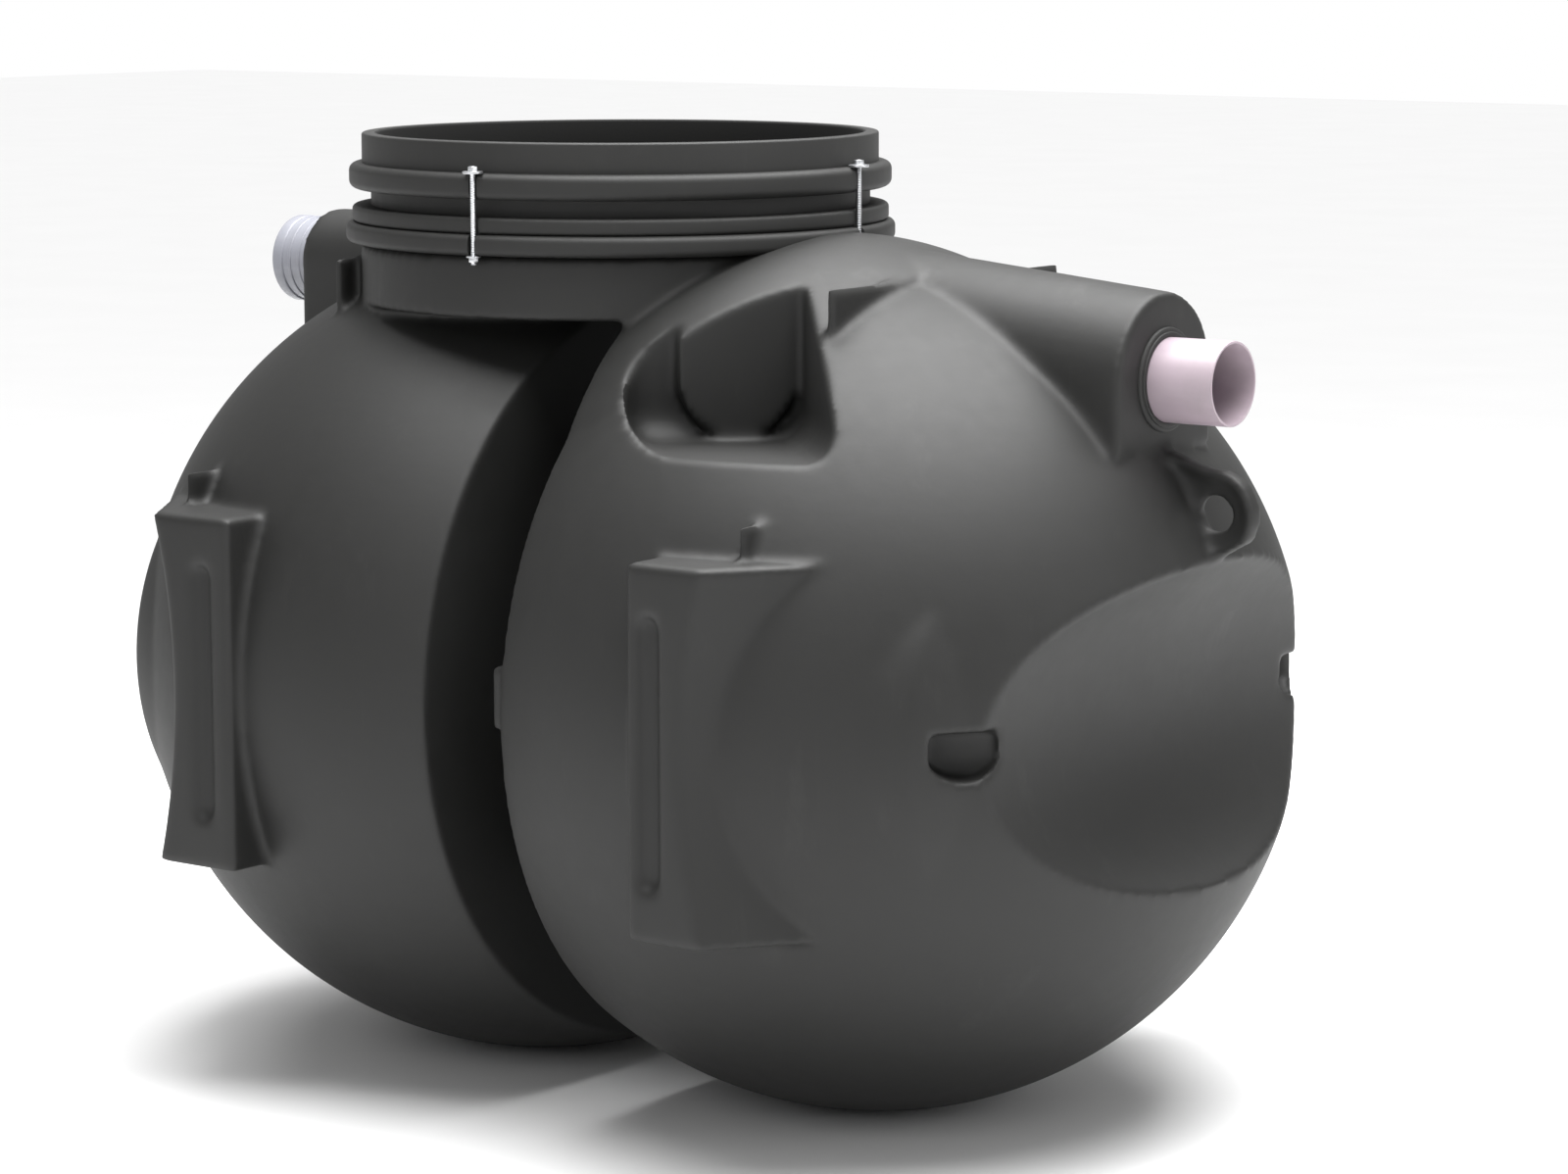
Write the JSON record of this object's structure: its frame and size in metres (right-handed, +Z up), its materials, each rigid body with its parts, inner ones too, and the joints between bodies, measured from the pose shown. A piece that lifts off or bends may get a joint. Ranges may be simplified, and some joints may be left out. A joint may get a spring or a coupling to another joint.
{
  "type": "twin-chamber septic tank",
  "caption": "Moulded plastic septic tank of two round chambers joined at a waist, with an open riser, an inlet socket and an outlet pipe.",
  "frame": {"origin": "under the middle of the tank's length and width, on the floor that its two seats rest on", "axes": "+X along the tank from the inlet to the outlet, +Y across it, +Z up"},
  "size_m": [1.768, 1.184, 1.3079],
  "materials": {
    "tank_plastic": "matt moulded polyethylene, nearly black",
    "seal_rubber": "black rubber",
    "pipe_plastic": "pale pinkish grey pipe",
    "socket_plastic": "grey pipe socket",
    "zinc_steel": "bright zinc-plated steel"
  },
  "bodies": {
    "root": {"inlet_base": "tank_plastic", "inlet_lower_near_wall": "tank_plastic", "inlet_lower_far_wall": "tank_plastic", "inlet_upper_near_wall": "tank_plastic", "inlet_upper_far_wall": "tank_plastic", "inlet_waist_wall": "tank_plastic", "outlet_base": "tank_plastic", "outlet_lower_near_wall": "tank_plastic", "outlet_lower_far_wall": "tank_plastic", "outlet_upper_near_wall": "tank_plastic", "outlet_upper_far_wall": "tank_plastic", "outlet_waist_wall": "tank_plastic", "waist_passage": "tank_plastic", "waist_tabs": "tank_plastic", "neck_floor": "tank_plastic", "neck_near_wall": "tank_plastic", "neck_far_wall": "tank_plastic", "neck_flange": "tank_plastic", "riser": "tank_plastic", "inlet_hood": "tank_plastic", "outlet_hood": "tank_plastic", "inlet_socket": "socket_plastic", "inlet_seal": "seal_rubber", "outlet_pipe": "pipe_plastic", "outlet_seal": "seal_rubber", "inlet_near_web": "tank_plastic", "inlet_far_web": "tank_plastic", "outlet_near_web": "tank_plastic", "outlet_far_web": "tank_plastic", "inlet_ear": "tank_plastic", "outlet_ear": "tank_plastic", "inlet_near_pad": "tank_plastic", "inlet_far_pad": "tank_plastic", "outlet_near_pad": "tank_plastic", "outlet_far_pad": "tank_plastic", "clamp_bolts": "zinc_steel", "clamp_washers": "zinc_steel", "clamp_nuts": "zinc_steel"}
  },
  "joints": []
}
